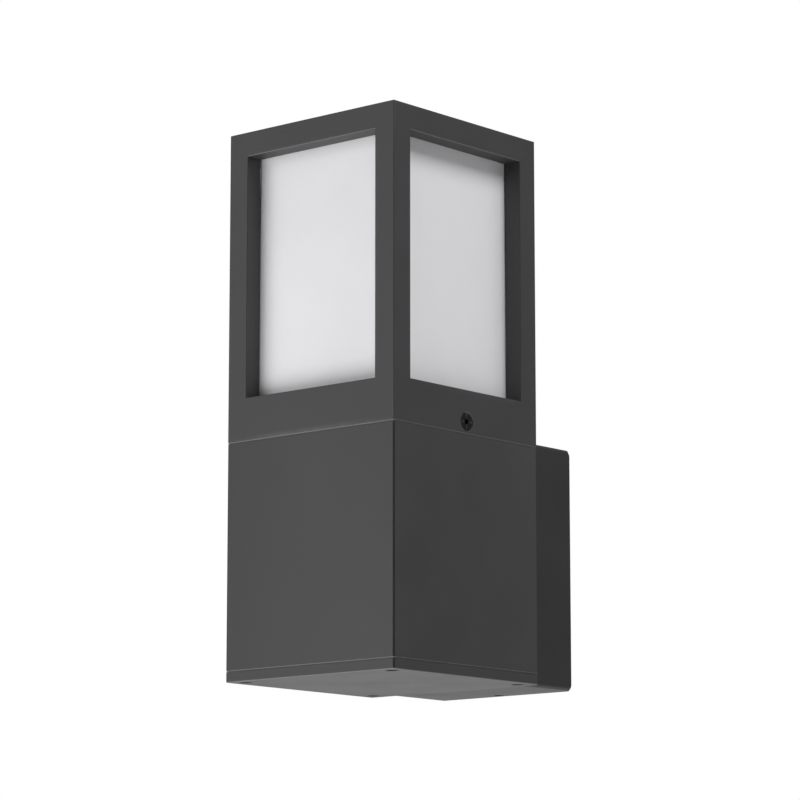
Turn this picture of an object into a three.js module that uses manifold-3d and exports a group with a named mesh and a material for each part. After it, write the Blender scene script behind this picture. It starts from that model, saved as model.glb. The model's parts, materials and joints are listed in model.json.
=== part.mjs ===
// Outdoor wall lantern: a square column with an opal lit cage on top, a closed
// wiring body below and a wall box behind. Millimetres, +Z up, front towards -Y.
// Inside each assembly the column's axis is x = y = 0 and its underside is z = 0.
// The outer group then moves the whole lantern so that the middle of the wall
// plate's back face is the origin.
import * as THREE from 'three';
import { mergeVertices } from 'three/addons/utils/BufferGeometryUtils.js';
import Module from 'manifold-3d';

const wasm = await Module();
wasm.setup();

// Driving dimensions
const columnSize = 100;
const columnHeight = 253;
const half = columnSize / 2;
const edgeRadius = 0.8; // upright edges of the column
const edgeChamfer = 0.35; // rims that meet at a seam
const gap = 0.3; // clearance between neighbouring pieces
const seamHeight = 108.7; // joint between body and cage
const seamGap = 0.4;
const coverThickness = 4.5;
const wallDepth = 39; // column's rear face to the wall
const mountHeight = 57; // origin above the column's underside
const bodyWall = 3;

const cageBottom = seamHeight + seamGap / 2;
const bodyTop = seamHeight - seamGap / 2;
const bodyBottom = coverThickness + gap;
const bodyInner = half - bodyWall;
const wallPlane = half + wallDepth;

const windowHalf = 38.8;
const windowBottom = seamHeight + 20.1;
const windowTop = columnHeight - 11.5;
const cavityHalf = 41.2;
const topSkin = 3;
const rebateHalf = 45.5; // socket in the cage that slides over the spigot
const rebateTop = 122;
const spigotHalf = rebateHalf - gap;
const spigotInner = 42.2;
const spigotTop = 118.9;
const clampHeight = seamHeight + 5.7; // head clamp screws

const traySeat = bodyTop - 2.8;
const wellHalf = 30;
const wellFloor = 84;
const wellWall = 2.5;
const trayScrewAt = 38.5;
const coverScrewAt = 43.4;
const retainerScrewAt = 43.2;

const boxHalf = 39;
const boxBottom = 0.4;
const boxTop = 113.4;
const boxRadius = 1.8;
const boxWall = 3;
const boxFront = half + 0.8;
const boxBack = wallPlane - 1;
const boxScrewX = 28;
const boxScrewHeights = [20, 94];
const cableHeight = 70;
const bushRadius = 8;
const setScrewY = wallPlane - 6;

const plateHalf = 33;
const plateThickness = 2.5;
const plateBottom = 8;
const plateTop = 110.1;
const flangeDepth = 11;
const grommetHeight = 84;

const holderRadius = 21;
const holderBottom = wellFloor + wellWall + gap;
const holderTop = 131;
const threadRadius = 13; // E27 lamp cap
const holderScrewX = 17.6;
const lampFoot = 107;
const wireRadius = 1.4;

const circleSides = 12;
const corners = [[1, 1], [-1, 1], [-1, -1], [1, -1]];

// Finishes
const anthracite = { color: 0x47484a, roughness: 0.62, metalness: 0.15 };
const opal = { color: 0xf0f0f1, roughness: 0.35, metalness: 0 };
const steel = { color: 0xa9abad, roughness: 0.35, metalness: 1 };
const blackOxide = { color: 0x2a2a2b, roughness: 0.45, metalness: 0.8 };
const castAluminium = { color: 0xb4b6b8, roughness: 0.55, metalness: 0.8 };
const rubber = { color: 0x1c1c1d, roughness: 0.9, metalness: 0 };
const silicone = { color: 0xd8d8d4, roughness: 0.7, metalness: 0 };
const porcelain = { color: 0xe9e6de, roughness: 0.25, metalness: 0 };
const brass = { color: 0xc6a45a, roughness: 0.35, metalness: 1 };
const nylon = { color: 0xdedbd0, roughness: 0.5, metalness: 0 };

// Solids

function solidOf(geometry) {
  geometry.deleteAttribute('normal');
  geometry.deleteAttribute('uv');
  const merged = mergeVertices(geometry, 1e-4);
  const mesh = new wasm.Mesh({
    numProp: 3,
    vertProperties: new Float32Array(merged.attributes.position.array),
    triVerts: new Uint32Array(merged.index.array),
  });
  return new wasm.Manifold(mesh);
}

function geometryOf(solid) {
  const mesh = solid.getMesh();
  const geometry = new THREE.BufferGeometry();
  geometry.setAttribute('position', new THREE.BufferAttribute(mesh.vertProperties, 3));
  geometry.setIndex(new THREE.BufferAttribute(mesh.triVerts, 1));
  geometry.computeVertexNormals();
  return geometry;
}

function addPart(group, name, solid, finish) {
  const mesh = new THREE.Mesh(geometryOf(solid), new THREE.MeshStandardMaterial(finish));
  mesh.name = name;
  group.add(mesh);
}

function block(x0, x1, y0, y1, z0, z1) {
  const geometry = new THREE.BoxGeometry(x1 - x0, y1 - y0, z1 - z0);
  geometry.translate((x0 + x1) / 2, (y0 + y1) / 2, (z0 + z1) / 2);
  return solidOf(geometry);
}

// Rectangle with round corners, centred on the origin of its own plane
function roundedRectangle(halfX, halfY, radius) {
  const shape = new THREE.Shape();
  const right = Math.PI / 2;
  shape.moveTo(halfX, -halfY + radius);
  shape.absarc(halfX - radius, halfY - radius, radius, 0, right);
  shape.absarc(-halfX + radius, halfY - radius, radius, right, 2 * right);
  shape.absarc(-halfX + radius, -halfY + radius, radius, 2 * right, 3 * right);
  shape.absarc(halfX - radius, -halfY + radius, radius, 3 * right, 4 * right);
  return shape;
}

// Upright square bar with round upright edges and chamfered ends
function squareBar(halfSize, radius, z0, z1, chamfer = 0) {
  const geometry = new THREE.ExtrudeGeometry(roundedRectangle(halfSize, halfSize, radius), {
    depth: z1 - z0 - 2 * chamfer,
    bevelEnabled: chamfer > 0,
    bevelThickness: chamfer,
    bevelSize: chamfer,
    bevelOffset: -chamfer,
    bevelSegments: 1,
    curveSegments: 2,
  });
  geometry.translate(0, 0, z0 + chamfer);
  return solidOf(geometry);
}

// Bar along +Y with a rounded-rectangle section in the XZ plane
function bandBar(halfX, z0, z1, radius, y0, y1, chamfer = 0) {
  const geometry = new THREE.ExtrudeGeometry(roundedRectangle(halfX, (z1 - z0) / 2, radius), {
    depth: y1 - y0 - 2 * chamfer,
    bevelEnabled: chamfer > 0,
    bevelThickness: chamfer,
    bevelSize: chamfer,
    bevelOffset: -chamfer,
    bevelSegments: 1,
    curveSegments: 3,
  });
  geometry.rotateX(Math.PI / 2);
  geometry.translate(0, y1 - chamfer, (z0 + z1) / 2);
  return solidOf(geometry);
}

// Turned piece: profile points are [radius, z], closed on itself or on the axis
function turned(profile, sides = circleSides) {
  const points = profile.map(([r, z]) => new THREE.Vector2(r, z));
  const geometry = new THREE.LatheGeometry(points, sides);
  geometry.rotateX(Math.PI / 2);
  return solidOf(geometry);
}

function rod(radius, z0, z1, sides = circleSides) {
  return turned([[0, z0], [radius, z0], [radius, z1], [0, z1]], sides);
}

// A piece made along +Z from its own origin, turned towards `direction` and moved to `at`
function aim(solid, direction, at) {
  const up = new THREE.Vector3(0, 0, 1);
  const turn = new THREE.Quaternion().setFromUnitVectors(up, new THREE.Vector3(...direction));
  const unscaled = new THREE.Vector3(1, 1, 1);
  const placed = new THREE.Matrix4().compose(new THREE.Vector3(...at), turn, unscaled);
  return solidOf(geometryOf(solid).applyMatrix4(placed));
}

function hexSocket(acrossFlats, z0, z1) {
  return rod(acrossFlats / Math.sqrt(3), z0, z1, 6);
}

// Countersunk screw along -Z: the head's face is z = 0 and the tip is at z = -length
function countersunkScrew({ headRadius, shankRadius, length, socket }) {
  const rim = 0.35;
  const headDepth = headRadius - shankRadius + rim;
  const body = turned([
    [0, 0],
    [headRadius, 0],
    [headRadius, -rim],
    [shankRadius, -headDepth],
    [shankRadius, -length + 0.5],
    [shankRadius - 0.5, -length],
    [0, -length],
  ].reverse());
  return body.subtract(hexSocket(socket, -headDepth * 0.75, 1));
}

// Screw with a raised round head along -Z: the head sits on z = 0
function panScrew({ headRadius, headHeight, shankRadius, length, socket }) {
  const body = turned([
    [0, -length],
    [shankRadius - 0.4, -length],
    [shankRadius, -length + 0.4],
    [shankRadius, 0],
    [headRadius, 0],
    [headRadius, headHeight * 0.55],
    [headRadius * 0.72, headHeight],
    [0, headHeight],
  ]);
  return body.subtract(hexSocket(socket, headHeight * 0.35, headHeight + 1));
}

// Pocket that a countersunk screw drops into, with clearance all round
function screwPocket({ headRadius, shankRadius, length }) {
  const wide = headRadius + 0.25;
  const narrow = shankRadius + 0.2;
  const seat = -(headRadius - shankRadius + 0.35) - gap;
  return turned([
    [0, 5],
    [wide, 5],
    [wide, -0.35 - gap],
    [narrow, seat],
    [narrow, -length - 1],
    [0, -length - 1],
  ].reverse());
}

// Cage assembly

const clampScrew = { headRadius: 4, shankRadius: 2, length: 4.35, socket: 2.5 };
const clampInset = 0.25;
const retainerScrew = { headRadius: 2.1, headHeight: 1.3, shankRadius: 1.2, length: 7, socket: 1.5 };

function lanternCage() {
  const far = half + 10;
  let cage = squareBar(half, edgeRadius, cageBottom, columnHeight, edgeChamfer)
    .subtract(squareBar(cavityHalf, 1, cageBottom - 1, columnHeight - topSkin))
    .subtract(squareBar(rebateHalf, 1, cageBottom - 1, rebateTop))
    .subtract(block(-windowHalf, windowHalf, -far, far, windowBottom, windowTop))
    .subtract(block(-far, far, -windowHalf, windowHalf, windowBottom, windowTop));
  for (const [sx, sy] of corners) {
    const hole = rod(retainerScrew.shankRadius + 0.2, rebateTop - 1, rebateTop + 8, 16);
    cage = cage.subtract(hole.translate([sx * retainerScrewAt, sy * retainerScrewAt, 0]));
  }
  for (const side of [1, -1]) {
    const mouth = [side * (half - clampInset), 0, clampHeight];
    cage = cage.subtract(aim(screwPocket(clampScrew), [side, 0, 0], mouth));
  }
  return cage;
}

// Opal cup, open below, drafted so that it narrows upwards
const diffuserBottom = rebateTop + 0.9;
const diffuserTop = 247;
const diffuserHalf = 40.9;
const diffuserDraft = 0.45;
const diffuserWall = 2.5;

function draftedBar(halfSize, radius, z0, z1) {
  const geometry = new THREE.ExtrudeGeometry(roundedRectangle(halfSize, halfSize, radius), {
    depth: z1 - z0,
    steps: 2,
    bevelEnabled: false,
    curveSegments: 3,
  });
  geometry.translate(0, 0, z0);
  const position = geometry.attributes.position;
  const rise = diffuserTop - diffuserBottom;
  for (let i = 0; i < position.count; i += 1) {
    const share = (position.getZ(i) - diffuserBottom) / rise;
    const narrowing = 1 - (diffuserDraft / halfSize) * share;
    position.setX(i, position.getX(i) * narrowing);
    position.setY(i, position.getY(i) * narrowing);
  }
  return solidOf(geometry);
}

function opalDiffuser() {
  const outer = draftedBar(diffuserHalf, 1.8, diffuserBottom, diffuserTop);
  const innerHalf = diffuserHalf - diffuserWall;
  const inner = draftedBar(innerHalf, 1, diffuserBottom - 1, diffuserTop - diffuserWall);
  return outer.subtract(inner);
}

function diffuserGasket() {
  return squareBar(40.7, 1.7, rebateTop - 0.1, diffuserBottom - 0.1)
    .subtract(squareBar(diffuserHalf - diffuserWall, 1, rebateTop - 2, rebateTop + 2));
}

const retainerThickness = 1.2;
const retainerTop = rebateTop - 0.2;

function diffuserRetainer() {
  const bottom = retainerTop - retainerThickness;
  let ring = squareBar(spigotHalf, 1, bottom, retainerTop)
    .subtract(squareBar(36, 1.5, bottom - 1, retainerTop + 1));
  for (const [sx, sy] of corners) {
    const hole = rod(retainerScrew.shankRadius + 0.2, bottom - 1, retainerTop + 1, 16);
    ring = ring.subtract(hole.translate([sx * retainerScrewAt, sy * retainerScrewAt, 0]));
  }
  return ring;
}

function makeCageAssembly() {
  const group = new THREE.Group();
  addPart(group, 'lantern_cage', lanternCage(), anthracite);
  addPart(group, 'opal_diffuser', opalDiffuser(), opal);
  addPart(group, 'diffuser_gasket', diffuserGasket(), silicone);
  addPart(group, 'diffuser_retainer', diffuserRetainer(), steel);
  corners.forEach(([sx, sy], index) => {
    const at = [sx * retainerScrewAt, sy * retainerScrewAt, retainerTop - retainerThickness - 0.05];
    const screw = aim(panScrew(retainerScrew), [0, 0, -1], at);
    addPart(group, `retainer_screw_${index + 1}`, screw, steel);
  });
  for (const [name, side] of [['right', 1], ['left', -1]]) {
    const at = [side * (half - clampInset), 0, clampHeight];
    const screw = aim(countersunkScrew(clampScrew), [side, 0, 0], at);
    addPart(group, `cage_screw_${name}`, screw, blackOxide);
  }
  return group;
}

// Body assembly

const coverScrew = { headRadius: 2.9, shankRadius: 1.5, length: 15, socket: 2 };
const coverInset = 0.5;
const trayScrew = { headRadius: 2.9, shankRadius: 1.5, length: 11, socket: 2 };
const boxScrew = { headRadius: 4.2, headHeight: 2.6, shankRadius: 2.5, length: 10, socket: 3 };
const blockScrew = { headRadius: 2.7, headHeight: 2, shankRadius: 1.5, length: 15, socket: 2 };
const earthScrew = { headRadius: 3.5, headHeight: 2.4, shankRadius: 2, length: 6, socket: 2.5 };
const portTop = 30;
const portBottom = 6.2;
const blockPlace = { half: 18, z0: 22, z1: 40, y0: 27, y1: 42.4 };
const blockPads = [[-14.6, 31], [14.6, 31]];
const padFace = 42.8;
const earthPlace = { x: 27, z: 46 };

function rearHole(radius, x, z) {
  return aim(rod(radius, 0, 30, radius > 5 ? 24 : 12), [0, 1, 0], [x, 35, z]);
}

function rearBoss(radius, x, z, face) {
  return aim(rod(radius, 0, bodyInner + 0.5 - face, 16), [0, 1, 0], [x, face, z]);
}

function bodyHousing() {
  let housing = squareBar(half, edgeRadius, bodyBottom, bodyTop, edgeChamfer)
    .subtract(squareBar(bodyInner, 1.5, bodyBottom - 1, bodyTop + 1));
  for (const [sx, sy] of corners) {
    const port = rod(4, portBottom, portTop, 16).translate([sx * coverScrewAt, sy * coverScrewAt, 0]);
    const shelf = block(35, bodyInner + 0.5, 35, bodyInner + 0.5, 92, traySeat - 0.1)
      .scale([sx, sy, 1]);
    const portHole = rod(1.7, 0, 22, 12).translate([sx * coverScrewAt, sy * coverScrewAt, 0]);
    const shelfHole = rod(1.7, 94, bodyTop, 12).translate([sx * trayScrewAt, sy * trayScrewAt, 0]);
    housing = housing.add(port).add(shelf).subtract(portHole).subtract(shelfHole);
  }
  for (const [x, z] of blockPads) {
    housing = housing.add(rearBoss(3.5, x, z, padFace));
  }
  housing = housing.add(rearBoss(4.5, earthPlace.x, earthPlace.z, padFace));
  for (const sx of [1, -1]) {
    for (const z of boxScrewHeights) {
      housing = housing.add(rearBoss(5, sx * boxScrewX, z, 40));
      housing = housing.subtract(rearHole(2.7, sx * boxScrewX, z));
    }
  }
  for (const [x, z] of [...blockPads, [earthPlace.x, earthPlace.z]]) {
    const radius = x === earthPlace.x ? 2.2 : 1.7;
    housing = housing.subtract(aim(rod(radius, 0, 7, 12), [0, 1, 0], [x, 42, z]));
  }
  return housing.subtract(rearHole(bushRadius + 0.3, 0, cableHeight));
}

function lampTray() {
  let tray = squareBar(bodyInner - gap, 1.3, traySeat, bodyTop)
    .add(squareBar(spigotHalf, 1, bodyTop - 1, spigotTop))
    .add(squareBar(wellHalf, 3, wellFloor, bodyTop))
    .subtract(squareBar(spigotInner, 1.5, bodyTop, spigotTop + 1))
    .subtract(squareBar(wellHalf - wellWall, 2, wellFloor + wellWall, spigotTop + 1));
  const grooveRing = squareBar(spigotHalf + 1, 1, 110, 112.4)
    .subtract(squareBar(43.7, 1, 109, 113));
  tray = tray.subtract(grooveRing);
  for (const [sx, sy] of corners) {
    const pocket = screwPocket(trayScrew).translate([sx * trayScrewAt, sy * trayScrewAt, bodyTop - 0.2]);
    tray = tray.subtract(pocket);
  }
  for (const sx of [1, -1]) {
    tray = tray.subtract(rod(1.7, wellFloor - 1, wellFloor + 5, 16).translate([sx * holderScrewX, 0, 0]));
    tray = tray.subtract(rod(2.2, wellFloor - 1, wellFloor + 5, 16).translate([sx * 6, 11, 0]));
  }
  return tray;
}

function spigotSeal() {
  return squareBar(spigotHalf + 0.15, 1.1, 110.2, 112.2)
    .subtract(squareBar(43.9, 1, 109, 113));
}

function lampholderBody() {
  let body = turned([
    [0, holderBottom],
    [holderRadius + 2, holderBottom],
    [holderRadius + 2, holderBottom + 5],
    [holderRadius, holderBottom + 7],
    [holderRadius, holderTop - 2],
    [holderRadius - 1.2, holderTop],
    [0, holderTop],
  ], 28);
  body = body.subtract(rod(threadRadius + 1.2, 103, holderTop + 1, 24));
  for (const sx of [1, -1]) {
    body = body.subtract(rod(1.8, 80, holderTop, 16).translate([sx * holderScrewX, 0, 0]));
    body = body.subtract(rod(3.1, 93, holderTop + 1, 20).translate([sx * holderScrewX, 0, 0]));
    body = body.subtract(rod(1.9, 80, 97, 16).translate([sx * 6, 11, 0]));
  }
  return body;
}

function lampholderSleeve() {
  return rod(threadRadius + 0.9, 108.4, 129.6, 24).subtract(rod(threadRadius + 0.35, 100, 140, 24));
}

// Springy strip that stands on the socket's floor and rises to the lamp's foot
function lampholderContact() {
  const strip = new THREE.Shape();
  const t = 0.6;
  strip.moveTo(-8, 0);
  strip.lineTo(3, 0);
  strip.quadraticCurveTo(7, 0.6, 4, 2.2);
  strip.lineTo(-3, 3.6);
  strip.lineTo(-3, 3.6 - t);
  strip.lineTo(3.4, 2.2 - t * 0.6);
  strip.quadraticCurveTo(4.6, 1, 2.8, t);
  strip.lineTo(-8, t);
  const geometry = new THREE.ExtrudeGeometry(strip, { depth: 6, bevelEnabled: false, curveSegments: 6 });
  geometry.rotateX(Math.PI / 2);
  geometry.translate(0, 3, 103.1);
  return solidOf(geometry);
}

function terminalBlock() {
  const { half: reach, z0, z1, y0, y1 } = blockPlace;
  let body = block(-reach, reach, y0 + 4, y1, z0, z1);
  for (const x of [-8, 0, 8]) {
    body = body.add(block(x - 3.2, x + 3.2, y0, y0 + 5, z0 + 1.5, z1 - 1.5));
    body = body.subtract(rod(1.9, z0 - 1, z1 + 1, 16).translate([x, y0 + 9, 0]));
    body = body.subtract(aim(rod(1.9, 0, 8, 16), [0, 1, 0], [x, y0 - 1, 31]));
  }
  for (const [x, z] of blockPads) {
    body = body.subtract(aim(rod(1.7, 0, 30, 16), [0, 1, 0], [x, y0 - 1, z]));
  }
  return body;
}

// Insulated conductor of round section along a smooth route
function wire(points) {
  const stops = points.map((p) => new THREE.Vector3(...p));
  const route = new THREE.CatmullRomCurve3(stops, false, 'centripetal');
  const section = new THREE.Shape();
  section.absarc(0, 0, wireRadius, 0, 2 * Math.PI);
  const steps = Math.min(40, Math.round(route.getLength() / (2 * wireRadius)));
  const geometry = new THREE.ExtrudeGeometry(section, {
    steps,
    extrudePath: route,
    curveSegments: 4,
  });
  return solidOf(geometry);
}

const wireY = blockPlace.y0 + 9;
const liveRoute = [
  [-8, wireY, 36], [-8, wireY, 44], [-9, wireY - 1, 54], [-10, 28, 64], [-9, 18, 72],
  [-6.5, 12, 79], [-6, 11, 86], [-6, 11, 95],
];
const neutralRoute = liveRoute.map(([x, y, z]) => [-x, y, z]);
const earthRoute = [
  [0, wireY, 36], [0, wireY, 42], [1.5, 33, 48.5], [8, 29.8, 52], [15, 32, 51], [19, 37, 47.5],
];

function earthLug() {
  const ring = rod(4, 0, 0.8, 24).subtract(rod(2.3, -1, 2, 20));
  const tail = block(-8.5, -3.4, -1.5, 1.5, 0, 0.8);
  return aim(ring.add(tail), [0, -1, 0], [earthPlace.x, padFace - 0.2, earthPlace.z]);
}

function wallBox() {
  let box = bandBar(boxHalf, boxBottom, boxTop, boxRadius, boxFront, boxBack, edgeChamfer)
    .subtract(bandBar(
      boxHalf - boxWall, boxBottom + boxWall, boxTop - boxWall, 1, boxFront + boxWall, boxBack + 1,
    ))
    .add(rod(4, boxBottom + 1, 6.4, 20).translate([0, setScrewY, 0]))
    .subtract(rod(2.3, boxBottom - 1, 8, 20).translate([0, setScrewY, 0]))
    .subtract(rearHole(bushRadius + 0.3, 0, cableHeight));
  for (const sx of [1, -1]) {
    for (const z of boxScrewHeights) {
      box = box.subtract(rearHole(2.7, sx * boxScrewX, z));
    }
  }
  return box;
}

function boxGasket() {
  let gasket = bandBar(boxHalf - 0.8, boxBottom + 5.5, bodyTop - 1, 2, half + 0.05, boxFront - 0.05)
    .subtract(rearHole(bushRadius + 0.3, 0, cableHeight));
  for (const sx of [1, -1]) {
    for (const z of boxScrewHeights) {
      gasket = gasket.subtract(rearHole(2.8, sx * boxScrewX, z));
    }
  }
  return gasket;
}

// Rubber bush that lines the cable's way from the wall box into the body
function cableBush() {
  const near = bodyInner - 2.4;
  const far = boxFront + boxWall + 2.4;
  const profile = [
    [5.5, near],
    [bushRadius + 2, near],
    [bushRadius + 2, bodyInner - gap],
    [bushRadius, bodyInner - gap],
    [bushRadius, boxFront + boxWall + gap],
    [bushRadius + 2, boxFront + boxWall + gap],
    [bushRadius + 2, far],
    [5.5, far],
    [5.5, near],
  ];
  return aim(turned(profile), [0, 1, 0], [0, 0, cableHeight]);
}

function setScrew() {
  const screw = turned([
    [0, 0.9], [2, 0.9], [2, 6.8], [1.2, 7.6], [0, 7.6],
  ], 20);
  return screw.subtract(hexSocket(2, 0, 3.4)).translate([0, setScrewY, 0]);
}

function wallGasket() {
  return bandBar(boxHalf - 0.4, boxBottom + 0.4, boxTop - 0.4, 2.6, boxBack + 0.05, wallPlane)
    .subtract(bandBar(boxHalf - 3, boxBottom + 3, boxTop - 3, 1, boxBack - 1, wallPlane + 1));
}

function makeBodyAssembly() {
  const group = new THREE.Group();
  addPart(group, 'body_housing', bodyHousing(), anthracite);
  addPart(group, 'lamp_tray', lampTray(), castAluminium);
  addPart(group, 'spigot_seal', spigotSeal(), rubber);
  corners.forEach(([sx, sy], index) => {
    const screw = countersunkScrew(trayScrew);
    const seated = screw.translate([sx * trayScrewAt, sy * trayScrewAt, bodyTop - 0.2]);
    addPart(group, `tray_screw_${index + 1}`, seated, steel);
  });
  addPart(group, 'lampholder_body', lampholderBody(), porcelain);
  addPart(group, 'lampholder_sleeve', lampholderSleeve(), brass);
  addPart(group, 'lampholder_contact', lampholderContact(), brass);
  for (const [name, sx] of [['right', 1], ['left', -1]]) {
    const holderScrew = { headRadius: 2.8, headHeight: 2, shankRadius: 1.5, length: 11, socket: 2 };
    const screw = panScrew(holderScrew).translate([sx * holderScrewX, 0, 93.1]);
    addPart(group, `lampholder_screw_${name}`, screw, steel);
  }
  addPart(group, 'terminal_block', terminalBlock(), nylon);
  for (const [name, x] of [['live', -8], ['earth', 0], ['neutral', 8]]) {
    const clamp = rod(1.6, 0, 5, 16).subtract(block(-2, 2, -0.25, 0.25, 4.2, 6));
    addPart(group, `terminal_screw_${name}`, aim(clamp, [0, -1, 0], [x, blockPlace.y0 + 5.6, 31]), brass);
  }
  blockPads.forEach(([x, z], index) => {
    const screw = aim(panScrew(blockScrew), [0, -1, 0], [x, blockPlace.y0 + 3.9, z]);
    addPart(group, `block_screw_${index + 1}`, screw, steel);
  });
  addPart(group, 'live_wire', wire(liveRoute), { color: 0x6b4a2f, roughness: 0.5, metalness: 0 });
  addPart(group, 'neutral_wire', wire(neutralRoute), { color: 0x2f5fa8, roughness: 0.5, metalness: 0 });
  addPart(group, 'earth_wire', wire(earthRoute), { color: 0x5f9a3a, roughness: 0.5, metalness: 0 });
  addPart(group, 'earth_lug', earthLug(), steel);
  const earthSeat = [earthPlace.x, padFace - 1.1, earthPlace.z];
  addPart(group, 'earth_screw', aim(panScrew(earthScrew), [0, -1, 0], earthSeat), brass);
  addPart(group, 'wall_box', wallBox(), anthracite);
  addPart(group, 'box_gasket', boxGasket(), rubber);
  addPart(group, 'cable_bush', cableBush(), rubber);
  let count = 0;
  for (const z of boxScrewHeights) {
    for (const sx of [1, -1]) {
      count += 1;
      const at = [sx * boxScrewX, boxFront + boxWall + 0.1, z];
      addPart(group, `box_screw_${count}`, aim(panScrew(boxScrew), [0, 1, 0], at), steel);
    }
  }
  addPart(group, 'wall_gasket', wallGasket(), rubber);
  addPart(group, 'wall_set_screw', setScrew(), blackOxide);
  return group;
}

// Bottom cover assembly

function bottomCover() {
  let cover = squareBar(half, edgeRadius, 0, coverThickness, edgeChamfer);
  for (const [sx, sy] of corners) {
    const at = [sx * coverScrewAt, sy * coverScrewAt, coverInset];
    cover = cover.subtract(aim(screwPocket(coverScrew), [0, 0, -1], at));
  }
  return cover;
}

function coverGasket() {
  let gasket = squareBar(bodyInner - gap, 1.3, coverThickness + 0.05, portBottom - 0.15)
    .subtract(squareBar(39, 2, 0, 10));
  for (const [sx, sy] of corners) {
    gasket = gasket.subtract(rod(1.8, 0, 10, 12).translate([sx * coverScrewAt, sy * coverScrewAt, 0]));
  }
  return gasket;
}

function makeCoverAssembly() {
  const group = new THREE.Group();
  addPart(group, 'bottom_cover', bottomCover(), anthracite);
  addPart(group, 'cover_gasket', coverGasket(), rubber);
  corners.forEach(([sx, sy], index) => {
    const at = [sx * coverScrewAt, sy * coverScrewAt, coverInset];
    const screw = aim(countersunkScrew(coverScrew), [0, 0, -1], at);
    addPart(group, `cover_screw_${index + 1}`, screw, blackOxide);
  });
  return group;
}

// Lamp: 60 mm bulb on an E27 cap

function makeLamp() {
  const group = new THREE.Group();
  const foot = turned([
    [0, lampFoot], [3.4, lampFoot], [4.8, lampFoot + 0.7], [4.8, lampFoot + 1.2], [0, lampFoot + 1.2],
  ]);
  const insulator = turned([
    [0, lampFoot + 1.3], [5.4, lampFoot + 1.3], [11.4, lampFoot + 3.6], [11.4, lampFoot + 4.4],
    [0, lampFoot + 4.4],
  ]);
  const cap = turned([
    [11.6, lampFoot + 4.6], [threadRadius, lampFoot + 6], [threadRadius, lampFoot + 24],
    [12.2, lampFoot + 24], [12.2, lampFoot + 6.4], [11.2, lampFoot + 5.4], [11.6, lampFoot + 4.6],
  ]);
  const shell = new THREE.SplineCurve([
    new THREE.Vector2(13.4, lampFoot + 24.4),
    new THREE.Vector2(15.5, lampFoot + 30),
    new THREE.Vector2(21, lampFoot + 42),
    new THREE.Vector2(27.2, lampFoot + 58),
  ]);
  const shellOutside = shell.getPoints(5).map((p) => [p.x, p.y]);
  const lampShell = turned([[0, lampFoot + 24.4], ...shellOutside, [0, lampFoot + 58]], 24);
  const globeBase = lampFoot + 58.3;
  const globeCentre = lampFoot + 78;
  const globeRadius = 30;
  const low = Math.asin((globeBase - globeCentre) / globeRadius);
  const arc = (radius, from, to) => Array.from({ length: 9 }, (unused, i) => {
    const angle = from + ((to - from) * i) / 8;
    return [Math.max(0, radius * Math.cos(angle)), globeCentre + radius * Math.sin(angle)];
  });
  const innerRadius = globeRadius - 1.2;
  const innerLow = Math.asin((globeBase - globeCentre) / innerRadius);
  const globe = turned([
    ...arc(globeRadius, low, Math.PI / 2),
    ...arc(innerRadius, Math.PI / 2, innerLow),
    [globeRadius * Math.cos(low), globeBase],
  ], 24);
  addPart(group, 'lamp_foot_contact', foot, brass);
  addPart(group, 'lamp_insulator', insulator, { color: 0x151515, roughness: 0.3, metalness: 0 });
  addPart(group, 'lamp_cap', cap, { color: 0xb9bbbd, roughness: 0.3, metalness: 1 });
  addPart(group, 'lamp_shell', lampShell, { color: 0xf4f4f2, roughness: 0.4, metalness: 0 });
  addPart(group, 'lamp_globe', globe, { color: 0xfafaf8, roughness: 0.3, metalness: 0 });
  return group;
}

// Wall bracket: plate with two folded flanges, slots for wall screws, cable grommet

function wallPlate() {
  const face = wallPlane - plateThickness;
  const flangeHalf = plateHalf - 8;
  const flangeFront = wallPlane - flangeDepth;
  let plate = block(-plateHalf, plateHalf, face, wallPlane, plateBottom, plateTop);
  for (const z of [plateBottom, plateTop - plateThickness]) {
    plate = plate.add(block(-flangeHalf, flangeHalf, flangeFront, face + 1, z, z + plateThickness));
  }
  for (const sx of [1, -1]) {
    for (const z of [28, 96]) {
      const slot = roundedRectangle(6.5, 2.75, 2.7);
      const settings = { depth: 10, bevelEnabled: false, curveSegments: 4 };
      const geometry = new THREE.ExtrudeGeometry(slot, settings);
      geometry.rotateX(Math.PI / 2);
      geometry.translate(sx * 21, wallPlane + 5, z);
      plate = plate.subtract(solidOf(geometry));
    }
  }
  return plate.subtract(aim(rod(7.3, -5, 5), [0, 1, 0], [0, wallPlane, grommetHeight]));
}

function plateGrommet() {
  const front = wallPlane - plateThickness;
  const profile = [
    [4.8, front - 1.8],
    [9, front - 1.8],
    [9, front - 0.2],
    [7, front - 0.2],
    [7, wallPlane - 0.1],
    [4.8, wallPlane - 0.1],
    [4.8, front - 1.8],
  ];
  return aim(turned(profile), [0, 1, 0], [0, 0, grommetHeight]);
}

function makeBracket() {
  const group = new THREE.Group();
  addPart(group, 'wall_plate', wallPlate(), steel);
  addPart(group, 'plate_grommet', plateGrommet(), rubber);
  return group;
}

const lantern = new THREE.Group();
lantern.position.set(0, -wallPlane, -mountHeight);
lantern.add(makeCageAssembly());
lantern.add(makeBodyAssembly());
lantern.add(makeCoverAssembly());
lantern.add(makeLamp());
lantern.add(makeBracket());

export default lantern;
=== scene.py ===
import json
import math

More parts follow.
